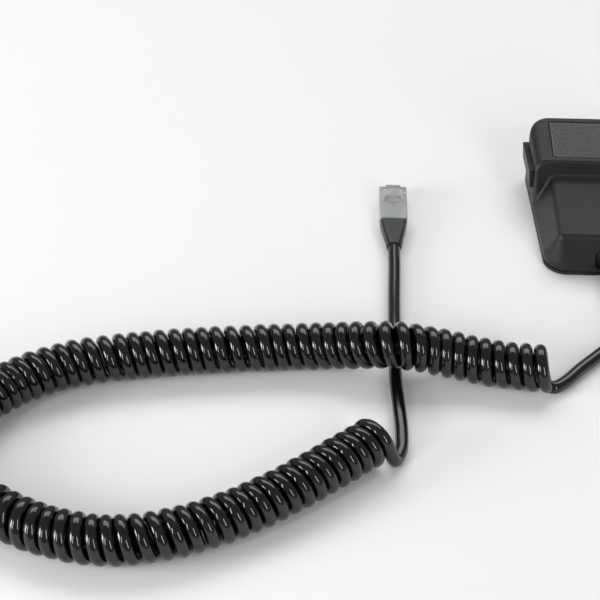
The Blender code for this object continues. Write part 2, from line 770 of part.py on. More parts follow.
def add_capsule():
    """The electret capsule in its rubber boot, which hangs in the bracket behind the grille."""
    capsule = turned(
        "mic_capsule",
        [
            (0.0, CAPSULE_TOP),
            (CAPSULE_RADIUS - 0.0004, CAPSULE_TOP),
            (CAPSULE_RADIUS, CAPSULE_TOP - 0.0004),
            (CAPSULE_RADIUS, CAPSULE_BOTTOM),
            (0.0, CAPSULE_BOTTOM),
        ],
        CAPSULE_METAL,
        HEAD_FRAME,
    )
    bore = CAPSULE_RADIUS + GAP
    outside = bore + BOOT_WALL
    boot = turned(
        "capsule_boot",
        [
            (bore, CAPSULE_TOP + GAP),
            (outside, CAPSULE_TOP + GAP),
            (outside, BRACKET_TOP + GAP + 0.001),
            (outside + 0.001, BRACKET_TOP + GAP + 0.001),
            (outside + 0.001, BRACKET_TOP + GAP),
            (outside, BRACKET_TOP + GAP),
            (outside, CAPSULE_BOTTOM - 0.0014),
            (bore - 0.002, CAPSULE_BOTTOM - 0.0014),
            (bore - 0.002, CAPSULE_BOTTOM - GAP),
            (bore, CAPSULE_BOTTOM - GAP),
        ],
        BOOT_RUBBER,
        HEAD_FRAME,
        24,
    )
    return capsule, boot, outside


def add_bracket(boot_radius):
    half_length = BRACKET_HALF_SPAN + 0.0024
    half_depth = boot_radius + 0.0012
    ear_middle = BRACKET_SCREW_PLACES[0][1]
    bottom = BRACKET_TOP - BRACKET_THICKNESS
    bracket = box(
        "capsule_bracket",
        (-half_length, ear_middle - BRACKET_EAR_HALF_DEPTH, bottom),
        (half_length, ear_middle + BRACKET_EAR_HALF_DEPTH, BRACKET_TOP),
        BRACKET_STEEL,
        HEAD_FRAME,
    )
    saddle = box(
        "bracket_saddle",
        (-half_depth, -half_depth, bottom - 0.0003),
        (half_depth, half_depth, BRACKET_TOP),
        None,
        HEAD_FRAME,
    )
    join(bracket, saddle)
    above, below = BRACKET_TOP + 0.001, bottom - 0.002
    cut(bracket, rod("boot_hole", boot_radius + GAP, below, above, (0.0, 0.0), None, HEAD_FRAME))
    for i, place in enumerate(BRACKET_SCREW_PLACES):
        hole_radius = SMALL_SCREW["shank"] + GAP
        hole = rod(f"bracket_hole_{i + 1}", hole_radius, below, above, place, None, HEAD_FRAME)
        cut(bracket, hole)
        head_bottom = bottom - GAP - SMALL_SCREW["head_height"]
        length = BRACKET_THICKNESS + 0.0035
        screw(f"bracket_screw_{i + 1}", place, head_bottom, length, SMALL_SCREW, HEAD_FRAME)
    return bracket


def add_key():
    """The talk key in the left side: its cap stands proud of the wall, and its lips stay inside."""
    rings = []
    for height, proud in ((KEY_BOTTOM, KEY_PROUD - KEY_DRAFT), (KEY_TOP, KEY_PROUD)):
        corners = [
            (-half_width(KEY_START) - proud, KEY_START),
            (KEY_INSIDE, KEY_START),
            (KEY_INSIDE, KEY_END),
            (-half_width(KEY_END) - proud, KEY_END),
        ]
        rings.append([(x, y, height) for x, y in corners])
    key = bevel(loft("ptt_button", rings, KEY_BLACK), 0.0005)
    lips = box(
        "key_lips",
        (KEY_INSIDE - 0.0006, KEY_START + 0.0035, KEY_BOTTOM - KEY_LIP_HEIGHT),
        (KEY_LIP_INSIDE, KEY_END - 0.007, KEY_TOP + KEY_LIP_HEIGHT),
    )
    join(key, lips)
    return key


def add_switch():
    """The small switch on the board that the key presses through its plunger."""
    face = KEY_LIP_INSIDE + GAP + KEY_TRAVEL + 0.0008
    body = box(
        "switch_body",
        (face, SWITCH_MIDDLE - SWITCH_LENGTH / 2, PART_BOTTOM),
        (face + SWITCH_DEPTH, SWITCH_MIDDLE + SWITCH_LENGTH / 2, PART_BOTTOM + SWITCH_HEIGHT),
        SWITCH_BLACK,
    )
    height = PART_BOTTOM + SWITCH_HEIGHT / 2
    slot_half_width = PLUNGER_HALF_WIDTH + GAP
    slot_half_height = PLUNGER_HALF_HEIGHT + GAP
    slot = box(
        "plunger_slot",
        (face - 0.001, SWITCH_MIDDLE - slot_half_width, height - slot_half_height),
        (face + 0.0042, SWITCH_MIDDLE + slot_half_width, height + slot_half_height),
    )
    cut(body, slot)
    plunger = box(
        "switch_plunger",
        (KEY_LIP_INSIDE + GAP, SWITCH_MIDDLE - PLUNGER_HALF_WIDTH, height - PLUNGER_HALF_HEIGHT),
        (face + 0.0024, SWITCH_MIDDLE + PLUNGER_HALF_WIDTH, height + PLUNGER_HALF_HEIGHT),
        PLUNGER_RED,
    )
    return body, plunger


def add_board():
    board = box(
        "circuit_board",
        (-BOARD_HALF_WIDTH, BOARD_START, BOARD_BOTTOM),
        (BOARD_HALF_WIDTH, BOARD_END, BOARD_TOP),
        BOARD_GREEN,
    )
    for i, place in enumerate(BOARD_SCREW_PLACES):
        cut(board, rod(f"board_hole_{i + 1}", SMALL_SCREW["shank"] + GAP, 0.0, FACE_HEIGHT, place))
        head_bottom = BOARD_BOTTOM - GAP - SMALL_SCREW["head_height"]
        screw(f"board_screw_{i + 1}", place, head_bottom, BOARD_THICKNESS + 0.0042, SMALL_SCREW)
    chip_y = BOARD_START + BOARD_LENGTH / 2
    box(
        "preamp_chip",
        (-0.0075, chip_y - 0.002, PART_BOTTOM),
        (-0.0025, chip_y + 0.002, PART_BOTTOM + 0.0016),
        CHIP_BLACK,
    )
    radius = 0.002
    top = PART_BOTTOM + 0.76 * PART_ROOM
    rim = 0.0003
    profile = [
        (0.0, top),
        (radius - rim, top),
        (radius, top - rim),
        (radius, PART_BOTTOM),
        (0.0, PART_BOTTOM),
    ]
    for i in range(2):
        capacitor = turned(f"audio_capacitor_{i + 1}", profile, CAPACITOR_BLUE)
        capacitor.location = (0.005 + 0.0055 * i, chip_y, 0.0)
    return board


def add_header():
    """The cord's connector: a header on the board and the housing pushed into it."""
    half = 0.0062
    header = box(
        "cable_header",
        (-half, HEADER_START, PART_BOTTOM),
        (half, HEADER_START + 0.006, PART_BOTTOM + HEADER_HEIGHT),
        HEADER_WHITE,
    )
    pocket_half = half - 0.001
    pocket_floor = PART_BOTTOM + 0.17 * HEADER_HEIGHT
    pocket_roof = PART_BOTTOM + 0.81 * HEADER_HEIGHT
    pocket_end = HEADER_START + 0.0045
    pocket = box(
        "header_pocket",
        (-pocket_half, HEADER_START - 0.001, pocket_floor),
        (pocket_half, pocket_end, pocket_roof),
    )
    cut(header, pocket)
    return box(
        "lead_connector",
        (GAP - pocket_half, HEADER_START - CONNECTOR_PROUD, pocket_floor + GAP),
        (pocket_half - GAP, pocket_end - GAP, pocket_roof - GAP),
        HEADER_WHITE,
    )


def add_relief():
    """The strain relief: local Z runs outwards from the tail."""
    bore = CORD_RADIUS + GAP
    shoulder = -EXIT_DEPTH + GAP
    neck_end = -EXIT_BLOCK - GAP
    profile = [
        (bore, RELIEF_LENGTH),
        (bore + 0.0006, RELIEF_LENGTH),
        (bore + 0.0008, RELIEF_LENGTH - 0.0004),
        (RELIEF_NECK_RADIUS, RELIEF_LENGTH * 0.55),
        (RELIEF_ROOT_RADIUS, RELIEF_SHOULDER),
        (RELIEF_ROOT_RADIUS, shoulder),
        (RELIEF_NECK_RADIUS, shoulder),
        (RELIEF_NECK_RADIUS, neck_end),
        (RELIEF_FLANGE_RADIUS, neck_end),
        (RELIEF_FLANGE_RADIUS, neck_end - RELIEF_SHOULDER),
        (bore, neck_end - RELIEF_SHOULDER),
    ]
    relief = turned("strain_relief", profile, RELIEF_RUBBER, None, 20)
    relief.rotation_euler.x = math.radians(90)
    relief.location = (0.0, TAIL, CORD_EXIT_HEIGHT)
    return relief


def add_cord_inside():
    """The cord's end inside the housing, its clamp and its four leads."""
    start = TAIL - RELIEF_LENGTH + GAP
    middle = (start + INNER_CORD_END) / 2
    axis = [(0.0, y, CORD_EXIT_HEIGHT) for y in (start, middle, INNER_CORD_END)]
    tube("inner_cord", axis, CORD_RADIUS, 0.02, CORD_BLACK, 3)

    half = CLAMP_HALF_SPAN + 0.0026
    bottom = CLAMP_TOP - CLAMP_THICKNESS
    clamp = box(
        "cord_clamp",
        (-half, CLAMP_MIDDLE - CLAMP_HALF_DEPTH, bottom),
        (half, CLAMP_MIDDLE + CLAMP_HALF_DEPTH, CLAMP_TOP),
        CLAMP_BLACK,
    )
    for i, place in enumerate(CLAMP_SCREW_PLACES):
        cut(clamp, rod(f"clamp_hole_{i + 1}", SMALL_SCREW["shank"] + GAP, 0.0, FACE_HEIGHT, place))
        head_bottom = bottom - GAP - SMALL_SCREW["head_height"]
        screw(f"clamp_screw_{i + 1}", place, head_bottom, CLAMP_THICKNESS + 0.0045, SMALL_SCREW)

    connector_face = HEADER_START - CONNECTOR_PROUD
    straight = 0.0012
    for i in range(4):
        across = i - 1.5
        side = math.copysign(0.001, across)
        level = 0.001 if i in (0, 3) else -0.001
        start = (side, INNER_CORD_END + GAP, CORD_EXIT_HEIGHT + level)
        end = (across * 0.0024, connector_face - GAP, PART_BOTTOM + HEADER_HEIGHT / 2)
        near_start = (start[0], start[1] + straight, start[2])
        near_end = (end[0], end[1] - straight, end[2])
        route = [start, near_start, near_end, end]
        tube(f"lead_{i + 1}", route, LEAD_WIRE_RADIUS, straight, LEAD_COLOURS[i], 1)


def add_capsule_leads():
    """Two wires from the capsule's pads to the board."""
    pad_depth = CAPSULE_BOTTOM - GAP
    for i, side in enumerate((-1, 1)):
        pad = Vector((side * 0.0013, 0.0, pad_depth))
        below = pad - Vector((0.0, 0.0, 0.0022))
        pad.rotate(HEAD_FRAME.rotation_euler)
        below.rotate(HEAD_FRAME.rotation_euler)
        pad += HEAD_FRAME.location
        below += HEAD_FRAME.location
        landing = Vector((side * 0.0022, BOARD_END - 0.006, PART_BOTTOM))
        above = landing + Vector((0.0, 0.0003, 0.0016))
        route = [pad, below, above, landing]
        tube(f"capsule_lead_{i + 1}", route, LEAD_WIRE_RADIUS, 0.0014, LEAD_COLOURS[i], 1)


def add_shell_screws():
    for i, place in enumerate(SHELL_SCREW_PLACES):
        screw(f"shell_screw_{i + 1}", place, SCREW_RECESS_FLOOR, 0.0085, SHELL_SCREW)


def lying(route, radius):
    """A route's points at the middle of a cord of this radius, in the part's own frame."""
    return [(x, TAIL + behind, underside + radius) for x, behind, underside in route]


def add_cord():
    """The cord outside: two uncoiled stretches and the curl, as one round solid of its outer size."""
    spacing = 4 * CORD_RADIUS
    tube("cord_lead", lying(LEAD_ROUTE, CORD_RADIUS), CORD_RADIUS, spacing, CORD_BLACK)
    tube("cord_curl", lying(CURL_ROUTE, CURL_RADIUS), CURL_RADIUS, 1.4 * CURL_RADIUS, CORD_BLACK, 4)
    tail_route = lying(TAIL_ROUTE, CORD_RADIUS)
    tail_route[-1] = (PLUG_MIDDLE, TAIL + TAIL_ROUTE[-1][1], PLUG_AXIS_HEIGHT)
    tube("cord_tail", tail_route, CORD_RADIUS, spacing, CORD_BLACK)


def add_plug():
    """The modular plug at the cord's far end, lying on its contacts with its latch up."""
    rear = TAIL + TAIL_ROUTE[-1][1] + GAP
    boot_front = rear + BOOT_LENGTH
    body_rear = boot_front + GAP
    nose = body_rear + PLUG_LENGTH
    top = PLUG_BOTTOM + PLUG_HEIGHT

    rings = []
    collar = CORD_RADIUS + 0.0005
    for share in (0.0, 0.35, 0.75, 1.0):
        half_across = collar + (PLUG_WIDTH / 2 - GAP - collar) * share
        half_up = collar + (PLUG_HEIGHT / 2 - 0.0001 - collar) * share
        corners = [
            (-half_across, -half_up),
            (half_across, -half_up),
            (half_across, half_up),
            (-half_across, half_up),
        ]
        section = rounded_outline(corners, [0.003 - 0.0017 * share] * 4, 3)
        y = rear + BOOT_LENGTH * share
        rings.append([(PLUG_MIDDLE + x, y, PLUG_AXIS_HEIGHT + z) for x, z in section])
    loft("plug_boot", rings, RELIEF_RUBBER)

    body = box(
        "plug_body",
        (PLUG_MIDDLE - PLUG_WIDTH / 2, body_rear, PLUG_BOTTOM),
        (PLUG_MIDDLE + PLUG_WIDTH / 2, nose, top),
        PLUG_CLEAR,
        None,
        0.0003,
    )
    slot_height = 0.0028
    slot_start = nose - 0.006
    blade = 0.00014
    for i in range(CONTACT_COUNT):
        x = PLUG_MIDDLE + (i - (CONTACT_COUNT - 1) / 2) * CONTACT_PITCH
        slot = box(
            f"contact_slot_{i + 1}",
            (x - blade - GAP, slot_start, PLUG_BOTTOM - 0.001),
            (x + blade + GAP, nose + 0.001, PLUG_BOTTOM + slot_height),
        )
        cut(body, slot)
        box(
            f"plug_contact_{i + 1}",
            (x - blade, slot_start + GAP, PLUG_BOTTOM + GAP),
            (x + blade, nose - GAP, PLUG_BOTTOM + slot_height - GAP),
            CONTACT_GOLD,
        )

    latch_length = 0.65 * PLUG_LENGTH
    root, tip = 0.0031, 0.0016
    outline = [
        (-root, 0.0006),
        (-root, -0.35 * latch_length),
        (-tip, -0.55 * latch_length),
        (-tip, -latch_length),
        (tip, -latch_length),
        (tip, -0.55 * latch_length),
        (root, -0.35 * latch_length),
        (root, 0.0006),
    ]
    half_thickness = 0.00045
    latch = plate("plug_latch", outline, -half_thickness, half_thickness, PLUG_CLEAR)
    latch.location = (PLUG_MIDDLE, nose - 0.0012, top + 2 * half_thickness)
    latch.rotation_euler.x = -LATCH_TILT


def main():
    add_front_shell()
    add_back_shell()
    add_grille()
    boot_radius = add_capsule()[2]
    bpy.context.view_layer.update()
    add_bracket(boot_radius)
    add_key()
    add_switch()
    add_board()
    add_header()
    add_relief()
    add_cord_inside()
    add_capsule_leads()
    add_shell_screws()
    add_cord()
    add_plug()


main()
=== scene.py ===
"""The looks of the hand microphone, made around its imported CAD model."""
import math

import bmesh
import bpy
import numpy as np
from mathutils import Matrix, Vector


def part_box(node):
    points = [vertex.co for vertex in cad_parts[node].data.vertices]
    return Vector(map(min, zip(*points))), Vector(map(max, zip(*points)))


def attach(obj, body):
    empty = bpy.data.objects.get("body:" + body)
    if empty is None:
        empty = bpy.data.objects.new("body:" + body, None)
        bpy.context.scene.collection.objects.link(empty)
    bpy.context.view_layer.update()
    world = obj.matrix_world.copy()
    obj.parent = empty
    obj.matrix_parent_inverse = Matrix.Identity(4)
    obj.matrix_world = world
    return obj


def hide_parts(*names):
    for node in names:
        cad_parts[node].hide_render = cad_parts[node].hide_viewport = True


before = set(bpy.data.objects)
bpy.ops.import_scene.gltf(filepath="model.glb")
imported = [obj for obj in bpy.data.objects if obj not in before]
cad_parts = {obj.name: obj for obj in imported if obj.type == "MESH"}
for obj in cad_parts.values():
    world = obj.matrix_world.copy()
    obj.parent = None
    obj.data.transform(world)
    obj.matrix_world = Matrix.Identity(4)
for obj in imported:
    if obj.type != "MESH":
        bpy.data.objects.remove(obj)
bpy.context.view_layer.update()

# The housing's sizes in metres, as in the CAD.
TAIL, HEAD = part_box("front_shell")[0][1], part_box("front_shell")[1][1]
LENGTH = HEAD - TAIL
TAIL_HALF_WIDTH = 0.0287
HEAD_HALF_WIDTH = 0.0335
TAIL_RADIUS = 0.009
HEAD_RADIUS = 0.0076
WALL = 0.0022
GAP = 0.0003
SEAM = 0.0019
SKIRT_TOP = 0.0049
FACE_HEIGHT = 0.0173
FACE_SIDE_INSET = 0.0049
FACE_FLARE = 0.0012
TAIL_SLOPE_INSET = 0.0049
FACE_EDGE_RADIUS = 0.0016
HEAD_DEPTH = 0.0248
HEAD_STEP = 0.0069
HEAD_NEAR = HEAD - HEAD_DEPTH
HEAD_NEAR_HEIGHT = FACE_HEIGHT + HEAD_STEP
STEP_LEAN = 0.0019 / HEAD_STEP
HEAD_TILT = math.radians(12.7)
HEAD_MIDDLE = HEAD_NEAR + 0.47 * HEAD_DEPTH
FACE_SOFTNESS = 0.03
HEAD_SLOPE_INSET = 0.012
FACE_RIM_RADIUS = 0.0018
STEP_FILLET = 0.0016

# The grille, its rebate and the sound opening under it.
GRILLE_HALF_WIDTH = 0.0243
GRILLE_HALF_LENGTH = 0.0095
GRILLE_MIDDLE = 0.0005
GRILLE_FLARE = 0.0005 / GRILLE_HALF_LENGTH
GRILLE_THICKNESS = 0.0007
REBATE_DEPTH = 0.0012
SOUND_HALF_WIDTH = 0.017
SOUND_HALF_LENGTH = 0.00715
SOUND_DEPTH = 0.005
HOLE_PITCH = 0.00102
HOLE_RADIUS = 0.00033
HOLE_SIDES = 10
GRILLE_BORDER = 0.0003

# The talk key, whose keeper lips reach past it above and below.
KEY_LIP_HEIGHT = 0.0012
KEY_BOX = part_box("ptt_button")
KEY_START, KEY_END = KEY_BOX[0][1], KEY_BOX[1][1]
KEY_BOTTOM, KEY_TOP = KEY_BOX[0][2] + KEY_LIP_HEIGHT, KEY_BOX[1][2] - KEY_LIP_HEIGHT
KEY_PROUD = 0.0022
KEY_DRAFT = 0.0008
KEY_LIP_DEPTH = 0.0009
KEY_INSIDE = KEY_BOX[1][0] - KEY_LIP_DEPTH
KEY_TRAVEL = 0.0012

# The cord's way out: a block inside the tail with a pocket for the strain relief and a bore.
CORD_EXIT_HEIGHT = 0.0075
EXIT_HALF_WIDTH = 0.0085
EXIT_HALF_HEIGHT = 0.0042
EXIT_CORNER_RADIUS = 0.0026
EXIT_DEPTH = 0.0026
EXIT_BLOCK = 0.007
EXIT_BLOCK_RISE = 0.0055
EXIT_BORE_RADIUS = 0.0041
EXIT_BORE_DEPTH = 0.012

# The back shell's lip and its stepped screw holes with their pads.
LIP_WALL = 0.0012
LIP_HEIGHT = 0.002
LIP_ROOT = 0.0004
SCREW_PAD_RADIUS = 0.0036
SCREW_PAD_RISE = 0.0022
SCREW_HOLE_RADIUS = 0.0015
SCREW_RECESS_RADIUS = 0.0027
SCREW_RECESS_TOP = 0.0021
SHELL_SCREWS = [f"shell_screw_{i}" for i in (1, 2, 3, 4)]

# The strain relief: its sleeve runs out from the tail, its neck and flange sit inside.
RELIEF_LENGTH = 0.022
RELIEF_ROOT_RADIUS = 0.0040
RELIEF_SHOULDER = 0.0015
RELIEF_SHOULDER_BACK = -0.0023
RELIEF_NECK_RADIUS = 0.0038
RELIEF_FLANGE_RADIUS = 0.0046
RELIEF_FLANGE_FRONT = -0.0073
RELIEF_BACK = -0.0088
GROOVE_COUNT = 5
GROOVE_PITCH = 0.0031
GROOVE_DEPTH = 0.00045
FIRST_GROOVE = 0.0035

# Sizes of the cells that the shells and the key are meshed with.
CELL = 0.00042
SMOOTHING_ROUNDS = 4

# The camera, as the microphone is seen: metres, degrees and a 36 mm wide sensor.
CAMERA_PLACE = Vector((-0.12776, -0.72558, 0.56193))
CAMERA_YAW, CAMERA_PITCH, CAMERA_ROLL = (math.radians(a) for a in (0.15, 39.97, 1.2))
CAMERA_LENS = 129.53

# The cord's sizes, and the routes that its solids follow in the CAD, in metres. The tail's first
# two points lead out of the last turn.
CORD_RADIUS = 0.0026
CURL_WIRE_RADIUS = 0.0068
CURL_PITCH = 0.00545
CURL_LEAN = 0.0009
END_SINK = 0.0006
STEPS_PER_TURN = 18
LEAD_ROUTE = [
    (0.0000, -0.0578, 0.0075),
    (0.0003, -0.0660, 0.0060),
    (-0.0015, -0.0750, 0.0040),
    (-0.0065, -0.0825, 0.0030),
    (-0.0120, -0.0885, 0.0028),
    (-0.0198, -0.0967, 0.0027),
    (-0.0255, -0.1035, 0.0027),
    (-0.0305, -0.1078, 0.0030),
]
CURL_ROUTE = [
    (-0.0335, -0.1046, 0.0095),
    (-0.0550, -0.1018, 0.0095),
    (-0.0740, -0.0992, 0.0120),
    (-0.0920, -0.0996, 0.0156),
    (-0.1100, -0.0964, 0.0122),
    (-0.1270, -0.0946, 0.0095),
    (-0.1560, -0.0972, 0.0095),
    (-0.1890, -0.1016, 0.0095),
    (-0.2180, -0.1086, 0.0095),
    (-0.2410, -0.1225, 0.0095),
    (-0.2540, -0.1400, 0.0095),
    (-0.2565, -0.1590, 0.0095),
    (-0.2490, -0.1760, 0.0095),
    (-0.2344, -0.1874, 0.0095),
    (-0.2174, -0.1960, 0.0095),
    (-0.1950, -0.2003, 0.0095),
    (-0.1735, -0.1964, 0.0095),
    (-0.1527, -0.1870, 0.0095),
    (-0.1330, -0.1738, 0.0095),
    (-0.1136, -0.1577, 0.0095),
    (-0.1000, -0.1458, 0.0095),
]
TAIL_ROUTE = [
    (-0.0928, -0.1506, 0.0034),
    (-0.0905, -0.1445, 0.0027),
    (-0.0900, -0.1350, 0.0027),
    (-0.0908, -0.1200, 0.0027),
    (-0.0917, -0.1060, 0.0027),
    (-0.0918, -0.0900, 0.0027),
    (-0.0917, -0.0720, 0.0027),
    (-0.0915, -0.0550, 0.0027),
    (-0.0911, -0.0380, 0.0030),
    (-0.0910, -0.0243, 0.0034),
]


# Camera, floor and light --------------------------------------------------------------------------


def add_camera():
    """The camera, turned by yaw, then pitch down, then roll."""
    forward = Vector((-math.sin(CAMERA_YAW), math.cos(CAMERA_YAW), 0.0))
    level = Vector((math.cos(CAMERA_YAW), math.sin(CAMERA_YAW), 0.0))
    down = Vector((0.0, 0.0, -1.0))
    look = forward * math.cos(CAMERA_PITCH) + down * math.sin(CAMERA_PITCH)
    rise = forward * math.sin(CAMERA_PITCH) - down * math.cos(CAMERA_PITCH)
    right = level * math.cos(CAMERA_ROLL) + rise * math.sin(CAMERA_ROLL)
    up = rise * math.cos(CAMERA_ROLL) - level * math.sin(CAMERA_ROLL)
    data = bpy.data.cameras.new("camera")
    data.sensor_width = 36.0
    data.lens = CAMERA_LENS
    data.clip_start = 0.01
    camera = bpy.data.objects.new("camera", data)
    bpy.context.scene.collection.objects.link(camera)
    turn = Matrix((right, up, -look)).transposed().to_4x4()
    camera.matrix_world = Matrix.Translation(CAMERA_PLACE) @ turn
    bpy.context.scene.camera = camera


def add_floor():
    half = 3.0
    builder = bmesh.new()
    corners = [(-half, -half), (half, -half), (half, half), (-half, half)]
    builder.faces.new([builder.verts.new((x, y, -0.0001)) for x, y in corners])
    mesh = bpy.data.meshes.new("floor")
    builder.to_mesh(mesh)
    builder.free()
    floor = bpy.data.objects.new("floor", mesh)
    bpy.context.scene.collection.objects.link(floor)
    floor.data.materials.append(floor_material())


def add_light(name, place, target, size, power):
    data = bpy.data.lights.new(name, "AREA")
    data.shape = "RECTANGLE"
    data.size, data.size_y = size
    data.energy = power
    light = bpy.data.objects.new(name, data)
    bpy.context.scene.collection.objects.link(light)
    light.location = place
    light.rotation_euler = (Vector(target) - Vector(place)).to_track_quat("-Z", "Y").to_euler()


def add_studio():
    """Faint even light, a large softbox behind, two narrow ones in front and a low one at the left."""
    world = bpy.data.worlds.new("studio")
    bpy.context.scene.world = world
    world.use_nodes = True
    background = world.node_tree.nodes["Background"]
    background.inputs["Color"].default_value = (1.0, 1.0, 1.0, 1.0)
    background.inputs["Strength"].default_value = 0.30
    bpy.context.scene.view_settings.view_transform = "Standard"
    middle = (-0.10, -0.06, 0.0)
    add_light("rear_softbox", (-0.10, 0.80, 1.22), middle, (1.9, 0.75), 12.3)
    add_light("front_left_strip", (-1.00, -1.10, 0.66), middle, (0.10, 0.8), 5.0)
    add_light("front_right_strip", (0.60, -1.10, 0.66), middle, (0.12, 0.8), 5.0)
    add_light("left_softbox", (-0.95, -0.42, 0.21), middle, (0.26, 0.38), 5.0)


# Materials ----------------------------------------------------------------------------------------


def new_material(name):
    material = bpy.data.materials.new(name)
    material.use_nodes = True
    nodes = material.node_tree.nodes
    return material, nodes, material.node_tree.links, nodes["Principled BSDF"]


def noise_node(nodes, links, scale, detail, roughness=0.5):
    """Noise over the object's own coordinates, in turns per metre."""
    place = nodes.new("ShaderNodeTexCoord")
    noise = nodes.new("ShaderNodeTexNoise")
    noise.inputs["Scale"].default_value = scale
    noise.inputs["Detail"].default_value = detail
    noise.inputs["Roughness"].default_value = roughness
    links.new(place.outputs["Object"], noise.inputs["Vector"])
    return noise


def ramp(nodes, links, source, low, high, begin=0.3, end=0.7):
    """Maps a node's value to between two values."""
    mapped = nodes.new("ShaderNodeMapRange")
    mapped.inputs["From Min"].default_value = begin
    mapped.inputs["From Max"].default_value = end
    mapped.inputs["To Min"].default_value = low
    mapped.inputs["To Max"].default_value = high
    links.new(source, mapped.inputs["Value"])
    return mapped.outputs["Result"]


def mix_colour(nodes, links, share, dark, light):
    mix = nodes.new("ShaderNodeMix")
    mix.data_type = "RGBA"
    links.new(share, mix.inputs["Factor"])
    mix.inputs["A"].default_value = (*dark, 1.0)
    mix.inputs["B"].default_value = (*light, 1.0)
    return mix.outputs["Result"]


def textured(
    name,
    dark,
    light,
    rough,
    metallic=0.0,
    grain=3500.0,
    depth=0.00003,
    patch=90.0,
    specular=0.5,
    coat=0.0,
):
    """A moulded or painted surface: blotchy colour and roughness over a fine grain that the bump
    follows. The grain and the patches are in turns per metre, the depth in metres."""
    material, nodes, links, shader = new_material(name)
    blotches = noise_node(nodes, links, patch, 4.0)
    grains = noise_node(nodes, links, grain, 2.0, 0.6)
    share = ramp(nodes, links, blotches.outputs["Fac"], 0.0, 1.0)
    links.new(mix_colour(nodes, links, share, dark, light), shader.inputs["Base Color"])
    wear = nodes.new("ShaderNodeMath")
    wear.operation = "MULTIPLY_ADD"
    links.new(grains.outputs["Fac"], wear.inputs[0])
    wear.inputs[1].default_value = 0.12
    dull = ramp(nodes, links, blotches.outputs["Fac"], rough[0] - 0.06, rough[1] - 0.06)
    links.new(dull, wear.inputs[2])
    links.new(wear.outputs["Value"], shader.inputs["Roughness"])
    bump = nodes.new("ShaderNodeBump")
    bump.inputs["Strength"].default_value = 1.0
    bump.inputs["Distance"].default_value = depth
    links.new(grains.outputs["Fac"], bump.inputs["Height"])
    links.new(bump.outputs["Normal"], shader.inputs["Normal"])
    shader.inputs["Metallic"].default_value = metallic
    shader.inputs["Specular IOR Level"].default_value = specular
    shader.inputs["Coat Weight"].default_value = coat
    shader.inputs["Coat Roughness"].default_value = 0.05
    return material


def floor_material():
    dark, light = (0.93, 0.93, 0.93), (0.96, 0.96, 0.96)
    return textured("floor_white", dark, light, (0.7, 0.8), 0.0, 400.0, 0.00001, 3.0)


def clear_material():
    """Clear moulded plastic with faint streaks."""
    material, nodes, links, shader = new_material("clear_polycarbonate")
    shader.inputs["Transmission Weight"].default_value = 0.85
    shader.inputs["IOR"].default_value = 1.58
    streaks = noise_node(nodes, links, 260.0, 3.0)
    share = ramp(nodes, links, streaks.outputs["Fac"], 0.0, 1.0)
    colour = mix_colour(nodes, links, share, (0.80, 0.83, 0.83), (0.92, 0.94, 0.94))
    links.new(colour, shader.inputs["Base Color"])
    links.new(ramp(nodes, links, streaks.outputs["Fac"], 0.06, 0.16), shader.inputs["Roughness"])
    bump = nodes.new("ShaderNodeBump")
    bump.inputs["Distance"].default_value = 0.00002
    links.new(streaks.outputs["Fac"], bump.inputs["Height"])
    links.new(bump.outputs["Normal"], shader.inputs["Normal"])
    return material


SHELL = textured(
    "spark_textured_black", (0.006, 0.006, 0.007), (0.010, 0.010, 0.011), (0.40, 0.48),
    0.0, 1900.0, 0.00016, specular=0.4
)
BACK = textured(
    "back_black", (0.009, 0.009, 0.010), (0.014, 0.014, 0.015), (0.45, 0.55),
    0.0, 1900.0, 0.00014, specular=0.35
)
KEY = textured(
    "key_black", (0.006, 0.006, 0.007), (0.010, 0.010, 0.011), (0.36, 0.44),
    0.0, 3600.0, 0.00004, specular=0.3
)
GRILLE = textured(
    "grille_black", (0.030, 0.030, 0.031), (0.042, 0.042, 0.043), (0.34, 0.42),
    0.0, 3600.0, 0.00002
)
CLOTH = textured(
    "acoustic_cloth", (0.006, 0.006, 0.006), (0.012, 0.012, 0.012), (0.9, 0.98),
    0.0, 5200.0, 0.00008
)
CORD = textured(
    "cord_gloss_black", (0.002, 0.002, 0.0022), (0.004, 0.004, 0.0042), (0.08, 0.16),
    0.0, 900.0, 0.000006, 60.0, 0.5, 0.2
)
RELIEF = textured(
    "relief_black", (0.010, 0.010, 0.011), (0.016, 0.016, 0.017), (0.32, 0.42),
    0.0, 4200.0, 0.00003
)
RUBBER = textured(
    "rubber_black", (0.014, 0.014, 0.015), (0.022, 0.022, 0.023), (0.65, 0.8),
    0.0, 3000.0, 0.00005
)
CAN = textured(
    "capsule_can", (0.68, 0.68, 0.66), (0.76, 0.76, 0.74), (0.22, 0.34),
    1.0, 2600.0, 0.00001
)
PLATED = textured(
    "plated_steel", (0.50, 0.50, 0.51), (0.62, 0.62, 0.63), (0.26, 0.40),
    1.0, 2200.0, 0.00001
)
SCREW = textured(
    "screw_steel", (0.36, 0.36, 0.37), (0.48, 0.48, 0.49), (0.25, 0.40),
    1.0, 2600.0, 0.00001
)
SWITCH = textured(
    "switch_black", (0.026, 0.026, 0.027), (0.038, 0.038, 0.039), (0.30, 0.40),
    0.0, 3600.0, 0.00002
)
RED = textured(
    "plunger_red", (0.45, 0.03, 0.02), (0.58, 0.05, 0.04), (0.35, 0.45),
    0.0, 3600.0, 0.00002
)
BOARD = textured(
    "board_green", (0.012, 0.12, 0.05), (0.02, 0.17, 0.07), (0.28, 0.40),
    0.0, 1500.0, 0.00003
)
CHIP = textured(
    "chip_black", (0.014, 0.014, 0.014), (0.022, 0.022, 0.022), (0.45, 0.6),
    0.0, 5200.0, 0.00002
)
SLEEVE = textured(
    "capacitor_blue", (0.02, 0.035, 0.15), (0.03, 0.05, 0.22), (0.28, 0.38),
    0.0, 2600.0, 0.00001
)
